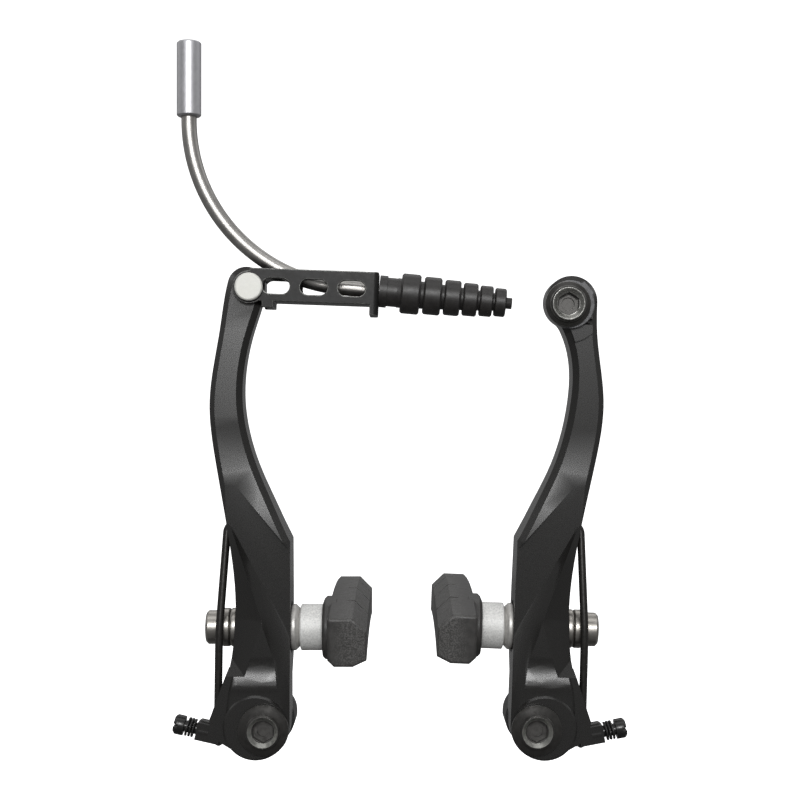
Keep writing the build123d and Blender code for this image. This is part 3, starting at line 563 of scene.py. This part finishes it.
def paint_socket_wear_and_highlights(bolt):
    """Paint the mouth of a bolt's socket, coned towards the axis, with wear and painted highlight, and
    its floor with painted highlight.
    """
    bolt.data.materials.append(socket_floor_highlight)
    middle = sum((Vector(corner) for corner in bolt.bound_box), Vector()) / len(bolt.bound_box)
    for face in bolt.data.polygons:
        inwards = (middle - face.center) * Vector((1, 0, 1))
        coned = face.normal.dot(inwards.normalized()) > MOUTH_LEAN
        mouth = face.normal.y < -MOUTH_LEAN and coned
        floor = face.normal.y < -ALONG_AXIS and inwards.length < SOCKET_HALF
        if mouth or floor:
            face.material_index = 1 if mouth else 2


def springy(name):
    """A return spring's finished copy, with its placing baked into its mesh."""
    wire = finished(name, spring_coat)
    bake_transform(wire)


for side in ("left", "right"):
    dress(f"{side}_arm", arm_paint, soft_edge=0.25, worn=arm_edge_wear_and_highlight, reshape=bend_ramp)
    dress(f"{side}_pivot_bushing", bushing_steel, soft_edge=0.15)
    paint_socket_wear_and_highlights(dress(f"{side}_fixing_bolt", black_oxide, soft_edge=0.15, worn=oxide_edge_wear_and_highlight))
    dress(f"{side}_spring_holder", holder_resin, soft_edge=0.4)
    dress(f"{side}_tension_screw", screw_black, soft_edge=0.12)
    dress(f"{side}_screw_spring", screw_black)
    dress(f"{side}_inner_dome_washer", zinc_grain, soft_edge=0.2)
    dress(f"{side}_inner_cup_washer", cup_zinc, soft_edge=0.15)
    dress(f"{side}_outer_dome_washer", bright_zinc, soft_edge=0.15)
    dress(f"{side}_outer_cup_washer", bright_zinc, soft_edge=0.15)
    dress(f"{side}_shoe_post", bright_zinc, soft_edge=0.15)
    dress(f"{side}_shoe_nut", bright_zinc, soft_edge=0.5)
    dress(f"{side}_brake_shoe", shoe_rubber, soft_edge=0.25, reshape=round_ends)
    springy(f"{side}_return_spring")

# The link's paler edge colour, partly wear and partly a painted highlight, reaches its slot lips
# unclamped
dress("link", link_paint, soft_edge=0.22, worn=worn_edge, clamped=False)
dress("link_pin", pin_nickel, soft_edge=0.15)
dress("lead_pipe", pipe_steel, soft_edge=0.1)
dress("pipe_liner", liner_plastic)
dress("pipe_ferrule", ferrule_alloy, soft_edge=0.08)
dress("boot", boot_rubber, soft_edge=0.35, reshape=seat_boot)
paint_socket_wear_and_highlights(dress("cable_anchor_bolt", black_oxide, soft_edge=0.15, worn=oxide_edge_wear_and_highlight))
dress("cable_clamp_washer", clamp_steel, soft_edge=0.2)

# Studio, in metres: a pale floor that curves up into a backdrop, and where the lights aim
FLOOR_DROP = 0.045
FLOOR_SIZE = 5.0
WALL_HEIGHT = 3.0
SWEEP_RADIUS = 0.9
SWEEP_CUTS = 24
LIGHTS_AIM = (0, 0, 0.08)

# The sweep's greys, its even glow, and the strength of the room's light from below and from above
SWEEP_GREYS = (0.9, 0.94)
SWEEP_GLOW = 1.0
ROOM_LIGHT = (0.09, 0.45)

# The photo's camera: its place in metres, then its lens and sensor in mm, and how near it sees
CAMERA_PLACE = (0, -0.355, 0.0822)
CAMERA_LENS = 62.3
CAMERA_SENSOR = 36
CAMERA_NEAR = 0.01


def pale_finish():
    """A pale, faintly mottled white that glows evenly."""
    pale, main = shader("pale_sweep", (SWEEP_GREYS[0],) * 3, roughness=0.8)
    noise = speckle(pale, scale=3, detail=2.0)
    tint = shades(pale, noise, (DARKEST, SWEEP_GREYS[0]), (LIGHTEST, SWEEP_GREYS[1]))
    connect(pale, tint, "Color", main, "Base Color")
    main.inputs["Emission Color"].default_value = WHITE
    main.inputs["Emission Strength"].default_value = SWEEP_GLOW
    return pale


def pick_rear(sweep, ceiling):
    """Select the edges behind the part whose ends are both below a ceiling."""
    mesh = bmesh.from_edit_mesh(sweep.data)
    for edge in mesh.edges:
        edge.select_set(all(end.co.y > 0 and end.co.z < ceiling for end in edge.verts))
    bmesh.update_edit_mesh(sweep.data)


def pale_sweep():
    """Floor and backdrop in one: a plane whose rear edge is raised and rounded at the foot."""
    bpy.ops.object.select_all(action="DESELECT")
    floor_level = cad_bounds[0][2] - FLOOR_DROP
    half_way_up = floor_level + WALL_HEIGHT / 2
    bpy.ops.mesh.primitive_plane_add(size=FLOOR_SIZE, location=(0, 0, floor_level))
    sweep = bpy.context.object
    sweep.name = "pale_sweep"
    bpy.ops.object.transform_apply(location=True)
    bpy.ops.object.mode_set(mode="EDIT")
    bpy.ops.mesh.select_all(action="DESELECT")
    pick_rear(sweep, half_way_up)
    bpy.ops.mesh.extrude_region_move(TRANSFORM_OT_translate={"value": (0, 0, WALL_HEIGHT)})
    pick_rear(sweep, half_way_up)
    bpy.ops.mesh.bevel(offset=SWEEP_RADIUS, segments=SWEEP_CUTS, affect="EDGES")
    bpy.ops.mesh.select_all(action="SELECT")
    bpy.ops.mesh.normals_make_consistent(inside=False)
    bpy.ops.object.mode_set(mode="OBJECT")
    bpy.ops.object.shade_smooth()
    sweep.data.materials.append(pale_finish())
    sweep.visible_glossy = False
    sweep.visible_diffuse = False


def soft_light(name, place, size, watts, aim=LIGHTS_AIM):
    """A rectangular soft box."""
    lamp = bpy.data.lights.new(name, "AREA")
    lamp.shape = "RECTANGLE"
    lamp.size, lamp.size_y = size
    lamp.energy = watts
    holder = bpy.data.objects.new(name, lamp)
    holder.location = place
    holder.rotation_euler = (Vector(aim) - Vector(place)).to_track_quat("-Z", "Y").to_euler()
    bpy.context.scene.collection.objects.link(holder)


def soft_lights():
    """One soft key in front, a dim card behind it, and fainter light from above, the sides and behind."""
    soft_light("key_box", place=(0.0, -0.95, 0.42), size=(0.36, 0.14), watts=5)
    soft_light("front_card", place=(0.0, -1.2, 0.6), size=(0.9, 1.0), watts=3, aim=(0, 0, 0.6))
    soft_light("top_box", place=(0.0, -0.2, 0.8), size=(0.8, 0.3), watts=1.0)
    soft_light("left_card", place=(-1.0, 0.25, 0.65), size=(0.6, 0.4), watts=0.8)
    soft_light("right_card", place=(1.0, 0.25, 0.65), size=(0.6, 0.4), watts=0.8)
    soft_light("back_card", place=(0.0, 0.8, 1.1), size=(1.2, 0.6), watts=2)


def pale_room(scene):
    """A dim room, lighter overhead, which is as pale as the sweep where the camera looks past it."""
    world = bpy.data.worlds.new("studio")
    scene.world = world
    world.use_nodes = True
    room = world.node_tree.nodes["Background"]
    room.inputs["Color"].default_value = WHITE
    where = node(world, "ShaderNodeTexCoord")
    axes = node(world, "ShaderNodeSeparateXYZ")
    connect(world, where, "Generated", axes, "Vector")
    upwards = node(world, "ShaderNodeMapRange")
    upwards.inputs["From Min"].default_value = -1.0
    upwards.inputs["To Min"].default_value = ROOM_LIGHT[0]
    upwards.inputs["To Max"].default_value = ROOM_LIGHT[1]
    connect(world, axes, "Z", upwards, "Value")
    connect(world, upwards, "Result", room, "Strength")
    backdrop = node(world, "ShaderNodeBackground", Color=WHITE)
    seen = node(world, "ShaderNodeLightPath")
    either = node(world, "ShaderNodeMixShader")
    connect(world, seen, "Is Camera Ray", either, 0)
    connect(world, room, "Background", either, 1)
    connect(world, backdrop, "Background", either, 2)
    connect(world, either, "Shader", world.node_tree.nodes["World Output"], "Surface")


def photo_camera(scene):
    """The camera of the photo, level and square to the front."""
    lens = bpy.data.cameras.new("photo_camera")
    lens.lens = CAMERA_LENS
    lens.sensor_width = CAMERA_SENSOR
    lens.clip_start = CAMERA_NEAR
    camera = bpy.data.objects.new("photo_camera", lens)
    camera.location = CAMERA_PLACE
    camera.rotation_euler = (radians(90), 0, 0)
    scene.collection.objects.link(camera)
    scene.camera = camera


def studio():
    """Everything round the part."""
    scene = bpy.context.scene
    scene.view_settings.view_transform = "Standard"
    pale_sweep()
    pale_room(scene)
    soft_lights()
    photo_camera(scene)


studio()
